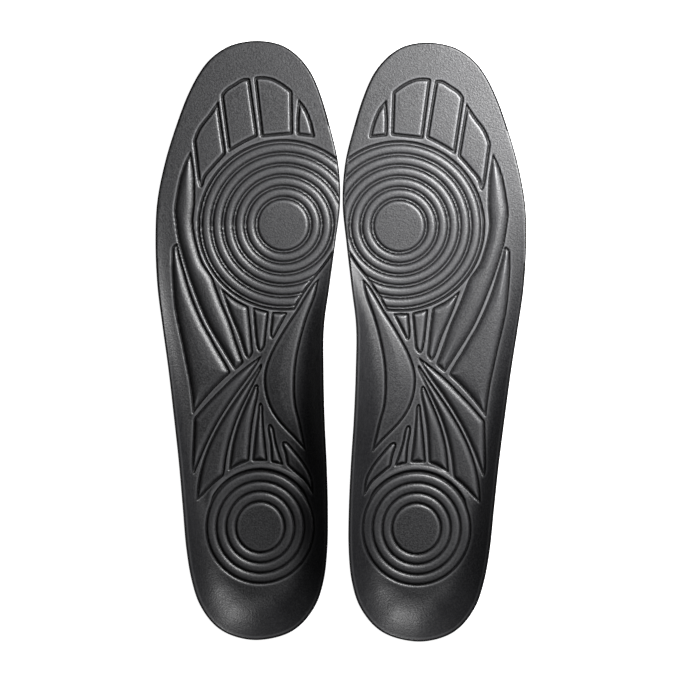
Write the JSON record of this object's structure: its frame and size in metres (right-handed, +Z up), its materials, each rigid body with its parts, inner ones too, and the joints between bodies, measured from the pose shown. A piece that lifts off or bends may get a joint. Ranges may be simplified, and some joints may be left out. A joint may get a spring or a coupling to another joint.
{
  "type": "cushioned insole pair",
  "caption": "Left and right cushioned insoles with a moulded cover, cupped heel, arch flange, round heel and ball cushions and an arch shell; each bends across the ball.",
  "frame": {"origin": "on the floor, midway between the two insoles and midway along them", "axes": "+X to the right insole's outer side, +Y to the toes, +Z up out of the cupped side"},
  "size_m": [0.1676, 0.27, 0.0243],
  "materials": {
    "cover": "fine-grained black microfibre with a soft sheen",
    "foam": "matt black moulded foam with fine cells",
    "cushion": "satin charcoal elastomer gel",
    "shell": "finely textured semi-rigid black plastic"
  },
  "bodies": {
    "left_rear": {"left_footbed_rear": "foam", "left_top_cover": "cover", "left_heel_cushion": "cushion", "left_ball_cushion": "cushion", "left_arch_shell": "shell"},
    "left_front": {"left_footbed_front": "foam"},
    "right_rear": {"right_footbed_rear": "foam", "right_top_cover": "cover", "right_heel_cushion": "cushion", "right_ball_cushion": "cushion", "right_arch_shell": "shell"},
    "right_front": {"right_footbed_front": "foam"}
  },
  "joints": [
    {"name": "left_flex", "type": "hinge", "parent": "left_rear", "child": "left_front", "pos_m": [-0.02611, 0.0517, 0.00793], "axis": [0.9659, 0.2588, 0], "range_deg": [0, 35], "stiffness_Nm_per_rad": 0.1, "deforming": ["left_top_cover", "left_ball_cushion"]},
    {"name": "right_flex", "type": "hinge", "parent": "right_rear", "child": "right_front", "pos_m": [0.02611, 0.0517, 0.00793], "axis": [0.9659, -0.2588, 0], "range_deg": [0, 35], "stiffness_Nm_per_rad": 0.1, "deforming": ["right_top_cover", "right_ball_cushion"]},
    {"name": "right_lift", "type": "slide", "parent": "left_rear", "child": "right_rear", "axis": [0, 0, 1], "range_m": [0, 0.1]}
  ]
}
